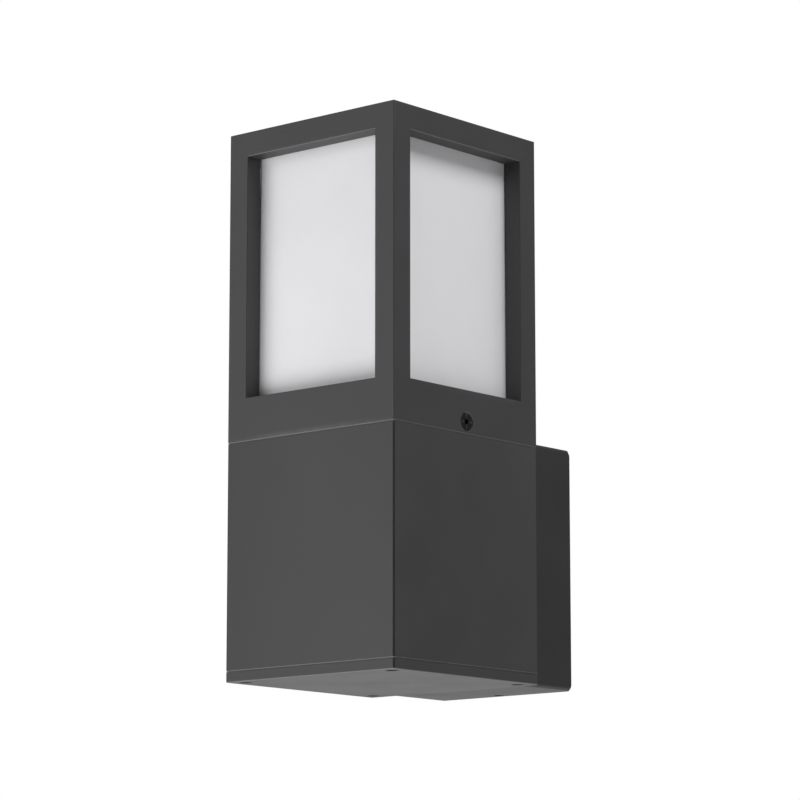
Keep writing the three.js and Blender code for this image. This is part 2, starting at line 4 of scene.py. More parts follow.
import bmesh
import bpy
import numpy as np
from mathutils import Euler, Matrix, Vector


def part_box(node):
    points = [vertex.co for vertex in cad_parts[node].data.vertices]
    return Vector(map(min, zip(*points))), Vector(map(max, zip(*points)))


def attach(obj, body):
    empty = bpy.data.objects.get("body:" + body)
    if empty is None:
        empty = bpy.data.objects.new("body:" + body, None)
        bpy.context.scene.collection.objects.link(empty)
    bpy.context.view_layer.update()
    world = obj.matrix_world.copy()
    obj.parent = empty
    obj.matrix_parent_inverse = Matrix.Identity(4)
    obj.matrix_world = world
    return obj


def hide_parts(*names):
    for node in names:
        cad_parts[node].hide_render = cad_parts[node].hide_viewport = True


# Outdoor wall lantern: square powder-coated column, opal light box, wall box behind.
# Metres throughout; mm turns the small sizes below into metres.
mm = 0.001
weld = 0.002 * mm             # points closer than this are one
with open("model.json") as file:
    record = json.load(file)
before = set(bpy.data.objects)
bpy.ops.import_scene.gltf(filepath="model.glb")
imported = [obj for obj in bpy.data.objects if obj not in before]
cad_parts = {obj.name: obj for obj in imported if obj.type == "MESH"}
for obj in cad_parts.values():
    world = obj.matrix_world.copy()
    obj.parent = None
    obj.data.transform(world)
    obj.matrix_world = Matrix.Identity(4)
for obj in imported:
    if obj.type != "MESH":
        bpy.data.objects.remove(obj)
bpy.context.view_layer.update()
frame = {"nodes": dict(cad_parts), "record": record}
print("frame loaded:", len(frame["nodes"]), "nodes")

columnLow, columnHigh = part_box("bottom_cover")
axisY = (columnLow.y + columnHigh.y) / 2          # the column's own axis, x = 0
columnHalf = (columnHigh.x - columnLow.x) / 2
scene = bpy.context.scene


# Camera
cameraSetup = {
    "place": (1.010864, -1.250670, -0.201227),    # below the lantern, to its front right
    "azimuth": 40.735,
    "climb": 10.098,                              # the view leans up by this much, degrees
    "lens": 153.85,
}
cameraData = bpy.data.cameras.new("camera")
cameraData.lens = cameraSetup["lens"]
cameraData.sensor_width = 36
cameraData.clip_start = 0.05
cameraData.clip_end = 60
camera = bpy.data.objects.new("camera", cameraData)
camera.location = cameraSetup["place"]
camera.rotation_euler = Euler(
    (math.radians(90 + cameraSetup["climb"]), 0, math.radians(cameraSetup["azimuth"])))
scene.collection.objects.link(camera)
scene.camera = camera


# Surfaces
# A sheet is a grid of points, rows by columns by 3, turned into four-sided faces.

def sheet(points, aroundColumns=False, aroundRows=False, cut=()):
    # faces join point (i, j) to (i+1, j), (i+1, j+1) and (i, j+1); cut lists
    # (row0, row1, column0, column1) blocks that are left open
    points = np.asarray(points, float)
    rows, columns = points.shape[:2]
    if aroundColumns:
        points = np.concatenate([points, points[:, :1]], 1)
        columns += 1
    if aroundRows:
        points = np.concatenate([points, points[:1]], 0)
        rows += 1
    i, j = np.meshgrid(np.arange(rows - 1), np.arange(columns - 1), indexing="ij")
    kept = np.ones(i.shape, bool)
    for row0, row1, column0, column1 in cut:
        kept[row0:row1, column0:column1] = False
    i, j = i[kept], j[kept]
    faces = np.stack([i * columns + j, i * columns + j + 1,
                      (i + 1) * columns + j + 1, (i + 1) * columns + j], -1)
    return points.reshape(-1, 3), faces


def rimOf(points, row0, row1, column0, column1):
    # the closed loop of points round a block of a sheet
    block = points[row0:row1 + 1, column0:column1 + 1]
    return np.concatenate([block[0, :-1], block[:-1, -1], block[-1, :0:-1], block[:0:-1, 0]])


def circleBand(rim, centre, sideways, upwards, steps):
    # joins a loop to circles: point k of each circle is centre + r (cos a sideways
    # + sin a upwards) + depth, with a counted from the loop's first point
    centre, sideways, upwards = (np.asarray(v, float) for v in (centre, sideways, upwards))
    inward = -np.cross(sideways, upwards)
    first, second = rim[0] - centre, rim[1] - centre
    start = math.atan2(first @ upwards, first @ sideways)
    turn = np.sign(np.cross([first @ sideways, first @ upwards],
                            [second @ sideways, second @ upwards]))
    angle = start + turn * np.arange(len(rim)) * 2 * np.pi / len(rim)
    ring = np.cos(angle)[:, None] * sideways + np.sin(angle)[:, None] * upwards
    radius = np.array([s[0] for s in steps])[:, None, None]
    depth = np.array([s[1] for s in steps])[:, None, None]
    circles = centre + radius * ring + depth * inward
    return sheet(np.concatenate([rim[None], circles]), aroundColumns=True)


def pieceFrom(name, sheets, material, body, stands, sharpAngle=32):
    # welds the sheets into one mesh, turns its faces outwards and lets it ride
    points = np.concatenate([s[0] for s in sheets])
    offsets = np.cumsum([0] + [len(s[0]) for s in sheets[:-1]])
    faces = np.concatenate([s[1] + o for s, o in zip(sheets, offsets)])
    mesh = bpy.data.meshes.new(name)
    mesh.from_pydata(points.tolist(), [], faces.tolist())
    work = bmesh.new()
    work.from_mesh(mesh)
    bmesh.ops.remove_doubles(work, verts=work.verts, dist=weld)
    bmesh.ops.dissolve_degenerate(work, edges=work.edges, dist=weld / 2)
    bmesh.ops.recalc_face_normals(work, faces=work.faces)
    work.to_mesh(mesh)
    work.free()
    mesh.shade_smooth()
    mesh.set_sharp_from_angle(angle=math.radians(sharpAngle))
    mesh.materials.append(material)
    piece = bpy.data.objects.new(name, mesh)
    scene.collection.objects.link(piece)
    normals = piece.modifiers.new("evenNormals", "WEIGHTED_NORMAL")
    normals.keep_sharp = True
    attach(piece, body)
    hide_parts(*stands)
    return piece


def roundedLoop(halfX, halfY, radius, arcSteps=5, stationsX=(), stationsY=()):
    # outline of a rectangle with round corners: straight stretches with extra
    # stations on them, and quarter circles of the given radius at the corners
    stationsX, stationsY = np.asarray(stationsX, float), np.asarray(stationsY, float)
    angle = np.linspace(0, np.pi / 2, arcSteps + 1)
    parts = []
    corners = ((1, -1, -np.pi / 2), (1, 1, 0), (-1, 1, np.pi / 2), (-1, -1, np.pi))
    sides = (stationsY, stationsX[::-1], stationsY[::-1], stationsX)
    for (sx, sy, start), stations, side in zip(corners, sides, range(4)):
        centre = np.array([sx * (halfX - radius), sy * (halfY - radius)])
        parts.append(centre + radius * np.stack([np.cos(angle + start), np.sin(angle + start)], 1))
        fixed = (halfX, halfY, -halfX, -halfY)[side]
        across = np.full(len(stations), fixed)
        along = np.stack([across, stations] if side % 2 == 0 else [stations, across], 1)
        parts.append(along.reshape(-1, 2))
    return np.concatenate(parts)


def quarterTurn(steps=4, share=1.0):
    # sine and 1 - cosine over a quarter circle, or the first share of it
    angle = np.linspace(0, np.pi / 2 * share, steps + 1)
    return np.sin(angle), 1 - np.cos(angle)


def turnedPoints(radii, heights, count=48):
    # r(k, a), z(k): each row is a circle, or a loop whose radius depends on the angle
    angle = np.arange(count) * 2 * np.pi / count
    radii = np.stack([np.broadcast_to(np.asarray(r, float), count) for r in radii])
    heights = np.asarray(heights, float)[:, None]
    return np.stack([radii * np.cos(angle), radii * np.sin(angle),
                     np.broadcast_to(heights, radii.shape)], -1)


def hexRadius(flat, count=48):
    # distance from the centre to the side of a hexagon, by angle
    angle = np.arange(count) * 2 * np.pi / count
    return flat / 2 / np.cos((angle % (np.pi / 3)) - np.pi / 6)


def threadRows(radius, depth, pitch, low, high, count=48, perTurn=8):
    # radius + depth * wave((z / pitch) - (a / turn)) gives a right-handed thread
    heights = np.linspace(low, high, max(4, int(round((high - low) / pitch * perTurn))) + 1)
    angle = np.arange(count) / count
    phase = heights[:, None] / pitch - angle[None, :]
    fade = np.clip(np.minimum(heights - low, high - heights) / (0.5 * pitch), 0, 1)[:, None]
    return radius + depth * fade * (0.5 * np.cos(2 * np.pi * phase) - 0.5), heights


def screwPoints(s, count=48):
    # a screw that points down -Z from its seat at z = 0, all in millimetres: the socket's
    # floor, the head's outline, then the thread's rows down to the tip
    head, shank, length, pitch = s["head"], s["shank"], s["length"], s["pitch"]
    hexagon = hexRadius(s["socket"], count)
    if s["kind"] == "flat":
        face, floor, under = 0.0, 0.8 * (shank - head), shank - head - 0.35
        outside = [(head - 0.12, 0.0), (head, -0.12), (head, -0.35), (shank, under)]
    elif s["kind"] == "grub":
        face, floor, under = 0.0, -2.6, -0.25
        outside = [(shank - 0.25, 0.0), (shank, under)]
    else:
        rise = s["headHeight"]
        face, floor, under = rise, 0.35 * rise, 0.0
        bend = np.linspace(0, np.pi / 2, 7)
        outside = list(zip(head * (0.62 + 0.38 * np.sin(bend)),
                           rise * (0.25 + 0.75 * np.cos(bend))))
        outside += [(head, 0.0), (shank, 0.0)]
    top = min(under - 0.2, -s.get("plain", 0.0) * length)
    thread, rows = threadRows(shank, 0.3 * pitch, pitch, 0.4 - length, top, count)
    radii = [np.zeros(count), hexagon * 0.5, hexagon, hexagon, hexagon + 0.1]
    heights = [floor - 0.2, floor - 0.05, floor, face - 0.1, face]
    radii += [np.full(count, r) for r, z in outside] + list(thread[::-1])
    heights += [z for r, z in outside] + list(rows[::-1])
    radii += [np.full(count, shank - 0.4), np.zeros(count)]
    heights += [-length, -length]
    return turnedPoints(radii, heights, count) * mm


def aimed(points, direction, place):
    # turns +Z to direction and moves the origin to place
    direction = np.asarray(direction, float)
    helper = np.array([0, 0, 1.0]) if abs(direction[2]) < 0.9 else np.array([1.0, 0, 0])
    side = np.cross(helper, direction)
    side /= np.linalg.norm(side)
    up = np.cross(direction, side)
    return points @ np.stack([side, up, direction]) + np.asarray(place, float)


# Shared shader groups

def newGroup(name, inputs, outputs):
    group = bpy.data.node_groups.new(name, "ShaderNodeTree")
    for label, kind, value in inputs:
        socket = group.interface.new_socket(label, in_out="INPUT", socket_type=kind)
        socket.default_value = value
    for label, kind in outputs:
        group.interface.new_socket(label, in_out="OUTPUT", socket_type=kind)
    return group, group.nodes.new("NodeGroupInput"), group.nodes.new("NodeGroupOutput")


def mathNode(nodes, links, kind, a, b=None):
    node = nodes.new("ShaderNodeMath")
    node.operation = kind
    for socket, value in zip(node.inputs, (a, b)):
        if isinstance(value, (int, float)):
            socket.default_value = value
        elif value is not None:
            links.new(value, socket)
    return node.outputs[0]


def makeGrainGroup():
    # fine pebbled grain of a baked powder or a moulded skin, with slow unevenness over it
    group, given, out = newGroup(
        "fineGrain",
        [("Grain Size", "NodeSocketFloat", 0.0006), ("Waviness", "NodeSocketFloat", 0.3)],
        [("Height", "NodeSocketFloat"), ("Patch", "NodeSocketFloat")])
    nodes, links = group.nodes, group.links
    coordinates = nodes.new("ShaderNodeTexCoord")
    scale = mathNode(nodes, links, "DIVIDE", 1.0, given.outputs["Grain Size"])
    fine = nodes.new("ShaderNodeTexNoise")
    fine.inputs["Detail"].default_value = 2.5
    fine.inputs["Roughness"].default_value = 0.55
    links.new(coordinates.outputs["Object"], fine.inputs["Vector"])
    links.new(scale, fine.inputs["Scale"])
    slow = nodes.new("ShaderNodeTexNoise")
    slow.inputs["Scale"].default_value = 38.0
    slow.inputs["Detail"].default_value = 3.0
    links.new(coordinates.outputs["Object"], slow.inputs["Vector"])
    weighted = mathNode(nodes, links, "MULTIPLY", slow.outputs["Fac"], given.outputs["Waviness"])
    links.new(mathNode(nodes, links, "ADD", fine.outputs["Fac"], weighted), out.inputs["Height"])
    links.new(slow.outputs["Fac"], out.inputs["Patch"])
    return group


def makeWearGroup():
    # a mask of lightly rubbed edges: high pointiness broken up by noise
    group, given, out = newGroup(
        "edgeRub",
        [("Amount", "NodeSocketFloat", 0.5), ("Threshold", "NodeSocketFloat", 0.56)],
        [("Mask", "NodeSocketFloat")])
    nodes, links = group.nodes, group.links
    geometry = nodes.new("ShaderNodeNewGeometry")
    coordinates = nodes.new("ShaderNodeTexCoord")
    noise = nodes.new("ShaderNodeTexNoise")
    noise.inputs["Scale"].default_value = 420.0
    noise.inputs["Detail"].default_value = 4.0
    links.new(coordinates.outputs["Object"], noise.inputs["Vector"])
    pointed = geometry.outputs["Pointiness"]
    sharp = mathNode(nodes, links, "SUBTRACT", pointed, given.outputs["Threshold"])
    steep = mathNode(nodes, links, "MULTIPLY", sharp, 14.0)
    broken = mathNode(nodes, links, "MULTIPLY", steep, noise.outputs["Fac"])
    strong = mathNode(nodes, links, "MULTIPLY", broken, given.outputs["Amount"])
    node = nodes.new("ShaderNodeClamp")
    links.new(strong, node.inputs["Value"])
    links.new(node.outputs["Result"], out.inputs["Mask"])
    return group


def makeDustGroup():
    # thin dust on faces that look up, in soft patches
    group, given, out = newGroup(
        "settledDust",
        [("Amount", "NodeSocketFloat", 0.2)],
        [("Mask", "NodeSocketFloat")])
    nodes, links = group.nodes, group.links
    geometry = nodes.new("ShaderNodeNewGeometry")
    split = nodes.new("ShaderNodeSeparateXYZ")
    links.new(geometry.outputs["Normal"], split.inputs["Vector"])
    coordinates = nodes.new("ShaderNodeTexCoord")
    noise = nodes.new("ShaderNodeTexNoise")
    noise.inputs["Scale"].default_value = 55.0
    noise.inputs["Detail"].default_value = 6.0
    noise.inputs["Roughness"].default_value = 0.7
    links.new(coordinates.outputs["Object"], noise.inputs["Vector"])
    facing = mathNode(nodes, links, "MAXIMUM", split.outputs["Z"], 0.0)
    upward = mathNode(nodes, links, "POWER", facing, 3.0)
    patched = mathNode(nodes, links, "MULTIPLY", upward, noise.outputs["Fac"])
    thin = mathNode(nodes, links, "MULTIPLY", patched, given.outputs["Amount"])
    links.new(thin, out.inputs["Mask"])
    return group


def makePaintedEdgeLightGroup():
    # two masks of painted light from the face's own direction n: painted shade on upright corners 4 |nx
    # ny|, and a painted highlight on lower rims that look down and outward, -2 nz (|nx| + |ny|)
    group, given, out = newGroup(
        "turnedEdges",
        [("Amount", "NodeSocketFloat", 0.5)],
        [("Corner", "NodeSocketFloat"), ("Rim", "NodeSocketFloat")])
    nodes, links = group.nodes, group.links
    geometry = nodes.new("ShaderNodeNewGeometry")
    split = nodes.new("ShaderNodeSeparateXYZ")
    links.new(geometry.outputs["True Normal"], split.inputs["Vector"])
    x = mathNode(nodes, links, "ABSOLUTE", split.outputs["X"], 0.0)
    y = mathNode(nodes, links, "ABSOLUTE", split.outputs["Y"], 0.0)
    corner = mathNode(nodes, links, "MULTIPLY", mathNode(nodes, links, "MULTIPLY", x, y), 4.0)
    down = mathNode(nodes, links, "MULTIPLY", split.outputs["Z"], -2.0)
    rim = mathNode(nodes, links, "MULTIPLY", mathNode(nodes, links, "ADD", x, y), down)
    for mask, label in ((corner, "Corner"), (rim, "Rim")):
        node = nodes.new("ShaderNodeClamp")
        links.new(mask, node.inputs["Value"])
        strong = mathNode(nodes, links, "MULTIPLY", node.outputs["Result"], given.outputs["Amount"])
        links.new(strong, out.inputs[label])
    return group


fineGrain = makeGrainGroup()
turnedEdges = makePaintedEdgeLightGroup()
edgeRub = makeWearGroup()
settledDust = makeDustGroup()


def placeGroup(nodes, group, values):
    node = nodes.new("ShaderNodeGroup")
    node.node_tree = group
    for label, value in values.items():
        node.inputs[label].default_value = value
    return node


def mixColours(nodes, links, factor, low, high):
    node = nodes.new("ShaderNodeMix")
    node.data_type = "RGBA"
    node.clamp_factor = True
    links.new(factor, node.inputs[0])
    for socket, value in ((node.inputs[6], low), (node.inputs[7], high)):
        if isinstance(value, tuple):
            socket.default_value = (*value, 1)
        else:
            links.new(value, socket)
    return node.outputs[2]


def mapRange(nodes, links, value, fromLow, fromHigh, toLow, toHigh):
    node = nodes.new("ShaderNodeMapRange")
    for label, number in zip(("From Min", "From Max", "To Min", "To Max"),
                             (fromLow, fromHigh, toLow, toHigh)):
        node.inputs[label].default_value = number
    links.new(value, node.inputs["Value"])
    return node.outputs["Result"]


def makeFinish(name, look):
    # one finish: two near colours in patches, a grain in the bump, rubbed edges, dust, and where asked
    # painted shade on upright corners and a painted highlight on lower rims
    material = bpy.data.materials.new(name)
    material.use_nodes = True
    nodes, links = material.node_tree.nodes, material.node_tree.links
    shader = nodes["Principled BSDF"]
    shader.inputs["Metallic"].default_value = look.get("metallic", 0.0)
    for label, value in look.get("plain", {}).items():
        shader.inputs[label].default_value = value
    grain = placeGroup(nodes, fineGrain,
                       {"Grain Size": look["grain"], "Waviness": look.get("waviness", 0.3)})
    patch = mapRange(nodes, links, grain.outputs["Patch"], 0.35, 0.65, 0.0, 1.0)
    colour = mixColours(nodes, links, patch, look["colour"], look["second"])
    if look.get("rub"):
        rub = placeGroup(nodes, edgeRub, {"Amount": look["rub"]})
        colour = mixColours(nodes, links, rub.outputs["Mask"], colour, look["rubColour"])
    # painted shade darkens the upright corners and a painted highlight lightens the lower rims
    if look.get("corner"):
        cornerShade = placeGroup(nodes, turnedEdges, {"Amount": look["corner"]})
        colour = mixColours(nodes, links, cornerShade.outputs["Corner"], colour, look["cornerColour"])
        rimHighlight = placeGroup(nodes, turnedEdges, {"Amount": look["rim"]})
        colour = mixColours(nodes, links, rimHighlight.outputs["Rim"], colour, look["rimColour"])
    if look.get("dust"):
        dust = placeGroup(nodes, settledDust, {"Amount": look["dust"]})
        colour = mixColours(nodes, links, dust.outputs["Mask"], colour, look["dustColour"])
    links.new(colour, shader.inputs["Base Color"])
    low, high = look["roughness"]
    roughness = mapRange(nodes, links, grain.outputs["Patch"], 0.3, 0.7, low, high)
    links.new(roughness, shader.inputs["Roughness"])
    bump = nodes.new("ShaderNodeBump")
    bump.inputs["Strength"].default_value = look["bump"]
    bump.inputs["Distance"].default_value = look.get("bumpDepth", 0.00008)
    links.new(grain.outputs["Height"], bump.inputs["Height"])
    links.new(bump.outputs["Normal"], shader.inputs["Normal"])
    return material


finishes = {
    "anthracite": {
        "colour": (0.0430, 0.0430, 0.0434), "second": (0.0465, 0.0465, 0.0470),
        "roughness": (0.50, 0.58), "grain": 0.00045, "waviness": 0.5, "bump": 0.35,
        "rub": 0.35, "rubColour": (0.10, 0.10, 0.105), "dust": 0.12, "dustColour": (0.36, 0.35, 0.33),
        "corner": 0.3, "cornerColour": (0.002, 0.002, 0.002),     # painted shade: upright corners darker
        "rim": 0.7, "rimColour": (0.22, 0.22, 0.22),              # painted highlight: lower rims lighter
        "plain": {"Specular IOR Level": 0.5},
    },
    "opal": {
        "colour": (0.905, 0.90, 0.925), "second": (0.89, 0.885, 0.91), "roughness": (0.30, 0.36),
        "grain": 0.0009, "bump": 0.06, "bumpDepth": 0.00004,
        "plain": {"Subsurface Weight": 0.35, "Subsurface Radius": (1.0, 1.0, 1.0),
                  "Subsurface Scale": 0.003},
    },
    "cast_aluminium": {
        "colour": (0.55, 0.56, 0.57), "second": (0.47, 0.48, 0.49), "roughness": (0.42, 0.56),
        "metallic": 0.9, "grain": 0.0011, "waviness": 0.8, "bump": 0.5,
        "rub": 0.4, "rubColour": (0.75, 0.76, 0.77),
    },
    "steel": {
        "colour": (0.56, 0.56, 0.57), "second": (0.52, 0.52, 0.52), "roughness": (0.30, 0.38),
        "metallic": 1.0, "grain": 0.0007, "waviness": 0.6, "bump": 0.15,
    },
    "black_steel": {
        "colour": (0.005, 0.005, 0.0055), "second": (0.008, 0.008, 0.0085), "roughness": (0.26, 0.34),
        "metallic": 0.0, "grain": 0.0003, "bump": 0.2, "rub": 0.3, "rubColour": (0.16, 0.16, 0.16),
        "plain": {"Specular IOR Level": 0.3},
    },
    "rubber": {
        "colour": (0.018, 0.018, 0.019), "second": (0.026, 0.026, 0.026), "roughness": (0.72, 0.85),
        "grain": 0.0008, "bump": 0.4,
    },
    "silicone": {
        "colour": (0.66, 0.66, 0.63), "second": (0.72, 0.72, 0.70), "roughness": (0.5, 0.6),
        "grain": 0.0008, "bump": 0.2, "plain": {"Subsurface Weight": 0.3, "Subsurface Scale": 0.002},
    },
    "porcelain": {
        "colour": (0.80, 0.78, 0.72), "second": (0.76, 0.735, 0.67), "roughness": (0.12, 0.2),
        "grain": 0.0025, "waviness": 1.0, "bump": 0.12, "plain": {"Coat Weight": 0.5},
    },
    "brass": {
        "colour": (0.68, 0.49, 0.20), "second": (0.58, 0.41, 0.17), "roughness": (0.24, 0.38),
        "metallic": 1.0, "grain": 0.0006, "bump": 0.15,
    },
    "nickel": {
        "colour": (0.62, 0.62, 0.60), "second": (0.55, 0.55, 0.53), "roughness": (0.2, 0.3),
        "metallic": 1.0, "grain": 0.0006, "bump": 0.12,
    },
    "nylon": {
        "colour": (0.70, 0.68, 0.60), "second": (0.66, 0.64, 0.56), "roughness": (0.42, 0.5),
        "grain": 0.0006, "bump": 0.2, "plain": {"Subsurface Weight": 0.15, "Subsurface Scale": 0.001},
    },
    "lamp_plastic": {
        "colour": (0.84, 0.84, 0.83), "second": (0.81, 0.81, 0.80), "roughness": (0.32, 0.4),
        "grain": 0.0007, "bump": 0.15,
    },
    "black_glass": {
        "colour": (0.008, 0.008, 0.009), "second": (0.012, 0.012, 0.013), "roughness": (0.06, 0.12),
        "grain": 0.001, "bump": 0.05,
    },
    "live_wire": {
        "colour": (0.17, 0.075, 0.035), "second": (0.15, 0.065, 0.03), "roughness": (0.36, 0.44),
        "grain": 0.0005, "bump": 0.1,
    },
    "neutral_wire": {
        "colour": (0.03, 0.12, 0.38), "second": (0.025, 0.105, 0.34), "roughness": (0.36, 0.44),
        "grain": 0.0005, "bump": 0.1,
    },
}
materials = {name: makeFinish(name, look) for name, look in finishes.items()}

# the same powder on the body and cover, with stronger painted shade on their upright corners, and on
# the cast wall
# box as a darker copy of the powder: painted shade, with a weaker painted highlight on its rims
bodyCornerShade = {"corner": 0.95}
# darker copy of the powder for the wall box: painted shade
boxPaintedShade = {"colour": (0.0225, 0.0225, 0.0228), "second": (0.0250, 0.0250, 0.0253), "rim": 0.2}
materials["housingCoat"] = makeFinish("housingCoat", {**finishes["anthracite"], **bodyCornerShade})
materials["castCoat"] = makeFinish("castCoat", {**finishes["anthracite"], **boxPaintedShade})


def makeEarthFinish():
    # green insulation with yellow bands that run lengthwise, from the piece's own UV map
    material = makeFinish("earth_wire", finishes["live_wire"])
    nodes, links = material.node_tree.nodes, material.node_tree.links
    shader = nodes["Principled BSDF"]
    where = nodes.new("ShaderNodeUVMap")
    where.uv_map = "alongWire"
    split = nodes.new("ShaderNodeSeparateXYZ")
    links.new(where.outputs["UV"], split.inputs["Vector"])
    turn = mathNode(nodes, links, "MULTIPLY", split.outputs["X"], 4 * math.pi)
    wave = mathNode(nodes, links, "SINE", turn)
    band = mapRange(nodes, links, wave, -0.08, 0.08, 0.0, 1.0)
    striped = mixColours(nodes, links, band, (0.10, 0.30, 0.05), (0.72, 0.62, 0.04))
    links.new(striped, shader.inputs["Base Color"])
    return material


materials["earth_wire"] = makeEarthFinish()
slotOf = {row["node"]: row["material_slot"] for row in frame["record"]["subparts"]}
print("finishes made:", len(materials))


# Cage
cageLow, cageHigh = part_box("lantern_cage")
cageSizes = {
    "edge": 0.6 * mm,            # rounding of every outside edge
    "footChamfer": 0.55 * mm,    # flat break along the lower rim
    "overhang": 0.3 * mm,        # how far the foot closes the seam above the body
    "windowHalf": 38.8 * mm,
    "sill": 19.9 * mm,           # window's lower edge above the cage's foot
    "topRail": 11.5 * mm,
    "windowEdge": 0.3 * mm,
    "rearEdge": 0.12 * mm,       # the same edges seen from inside
    "wall": 8.8 * mm,            # depth of the window reveals
    "socketHalf": 45.5 * mm,     # inside of the foot, which slides over the spigot
    "socketHeight": 13.1 * mm,
    "skin": 3.0 * mm,
    "screwHeight": 5.5 * mm,     # clamp screw above the cage's foot
    "pocket": [(4.45, 0.0), (4.3, 0.15), (4.3, 0.55), (2.3, 2.65), (2.3, 4.5)],
    "boreReach": 4.8 * mm,       # half height of the patch round the bore's inner mouth
}
stations = np.array([-30, -20, -12, -7, -14 / 3, -7 / 3, 0, 7 / 3, 14 / 3, 7, 12, 20, 30]) * mm


def rectangleLoop(left, right, low, high, across, upwards):
    # closed outline of a rectangle with the same stations on opposite sides
    x = np.concatenate([[left], across, [right]])
    z = np.concatenate([[low], upwards, [high]])
    corner = [np.stack([x[:-1], np.full(len(x) - 1, low)], 1),
              np.stack([np.full(len(z) - 1, right), z[:-1]], 1),
              np.stack([x[:0:-1], np.full(len(x) - 1, high)], 1),
              np.stack([np.full(len(z) - 1, left), z[:0:-1]], 1)]
    return np.concatenate(corner)


def cageFace(s, low, high):
    # a window frame as one sheet: rectangles that grow from the cavity's edge through
    # the window's reveal and over the outer face to the middle of the edge rounding
    half, edge, wall, lip = columnHalf, s["edge"], s["wall"], s["windowEdge"]
    window = (s["windowHalf"], low + s["sill"], high - s["topRail"])
    levels = np.linspace(window[1] + 12 * mm, window[2] - 12 * mm, 6)
    loops = []

    def add(grow, depth):
        loop = rectangleLoop(-window[0] - grow, window[0] + grow, window[1] - grow, window[2] + grow,
                             stations, levels)
        loops.append(np.column_stack([loop[:, 0], np.full(len(loop), depth), loop[:, 1]]))

    cavity = half - wall
    inner = rectangleLoop(-cavity, cavity, low + s["socketHeight"], high - s["skin"], stations, levels)
    loops.append(np.column_stack([inner[:, 0], np.full(len(inner), wall), inner[:, 1]]))
    back = s["rearEdge"]
    add(back, wall)
    sine, drop = quarterTurn(3)
    for k in range(1, 4):
        add(back * (1 - sine[k]), wall - back * drop[k])
    for k in range(3, -1, -1):
        add(lip * (1 - sine[k]), lip * drop[k])
    frameStart = loops[-1]
    foot = low - s["overhang"]
    bevel = s["footChamfer"]
    outer = rectangleLoop(-half + edge, half - edge, foot + bevel, high - edge, stations, levels)
    outer = np.column_stack([outer[:, 0], np.zeros(len(outer)), outer[:, 1]])
    for share in [0.22, 0.41, *(0.41 + 0.59 * np.arange(1, 7) / 6)]:
        loops.append(frameStart + (outer - frameStart) * share)
    sine, drop = quarterTurn(3, 0.5)
    for k in range(1, 4):
        reach = edge * sine[k]
        loop = rectangleLoop(-half + edge - reach, half - edge + reach, foot + bevel - edge * drop[k],
                             high - edge + reach, stations, levels)
        loops.append(np.column_stack([loop[:, 0], np.full(len(loop), edge * drop[k]), loop[:, 1]]))
    return np.array(loops)


def placeFace(points, quarter):
    # (across, depth, height) on the front face, turned round the column's axis
    x, y = points[..., 0], points[..., 1] - columnHalf
    c, s = round(math.cos(quarter * math.pi / 2)), round(math.sin(quarter * math.pi / 2))
    return np.stack([c * x - s * y, s * x + c * y + axisY, points[..., 2]], -1)


def squareLoops(rows):
    # squares with the cage's own stations: rows are (half size, height)
    loops = []
    for half, height in rows:
        across = stations if half > 30 * mm else stations * half / (30.001 * mm)
        loop = rectangleLoop(-half, half, -half, half, across, across)
        loops.append(np.column_stack([loop[:, 0], loop[:, 1] + axisY, np.full(len(loop), height)]))
    return np.array(loops)


def matched(rim, ring):
    # the ring turned, and reversed where need be, so that its points lie nearest the rim's
    turns = [np.roll(way, k, axis=0) for way in (ring, ring[::-1]) for k in range(len(ring))]
    return min(turns, key=lambda turn: np.linalg.norm(turn - rim, axis=1).sum())


def makeCage(s):
    low, high, half, edge = cageLow.z, cageHigh.z, columnHalf, s["edge"]
    face = cageFace(s, low, high)
    block = (10, 16, 4, 10)      # rows and columns of the face that the clamp screw's pocket takes up
    sheets, mouths = [], []
    for quarter in range(4):
        placed = placeFace(face, quarter)
        if quarter % 2 == 0:
            sheets.append(sheet(placed, aroundColumns=True))
            continue
        sheets.append(sheet(placed, aroundColumns=True, cut=[block]))
        side = 1 if quarter == 1 else -1
        centre = (side * half, axisY, low + s["screwHeight"])
        steps = [(r * mm, d * mm) for r, d in s["pocket"]]
        band = circleBand(rimOf(placed, *block), centre, (0, side, 0), (0, 0, 1), steps)
        sheets.append(band)
        mouths.append(band[0].reshape(len(steps) + 1, -1, 3)[-1, :-1])
    sine, drop = quarterTurn(3, 0.5)
    crown = [(half - edge + edge * sine[k], high - edge * drop[k]) for k in range(3, -1, -1)]
    crown += [(30 * mm, high), (10 * mm, high), (0.0, high)]
    sheets.append(sheet(squareLoops(crown), aroundColumns=True))
    base = low - s["overhang"]
    bevel = s["footChamfer"]
    turn = edge * drop[3]
    foot = [(half - turn, base + bevel - turn), (half - bevel, base), (half - bevel - 0.3 * mm, base)]
    socket, shelf, cavity = s["socketHalf"], low + s["socketHeight"], half - s["wall"]
    foot += [(socket + 0.3 * mm, base), (socket, base + 0.3 * mm)]
    foot += [(socket, low + s["screwHeight"] + z) for z in np.linspace(-1, 1, 7) * s["boreReach"]]
    foot += [(socket, shelf), (cavity, shelf)]
    loops = squareLoops(foot)
    blocks = [(5, 11, 18, 24), (5, 11, 46, 52)]      # patches round the two bores, right and left
    sheets.append(sheet(loops, aroundColumns=True, cut=blocks))
    for block, mouth in zip(blocks, mouths):
        rim = rimOf(loops, *block)
        sheets.append(sheet(np.array([rim, matched(rim, mouth)]), aroundColumns=True))
    ceiling = [(cavity, high - s["skin"]), (10 * mm, high - s["skin"]), (0.0, high - s["skin"])]
    sheets.append(sheet(squareLoops(ceiling), aroundColumns=True))
    pieceFrom("cageShell", sheets, materials["anthracite"], "head", ["lantern_cage"])


makeCage(cageSizes)
print("cage made")


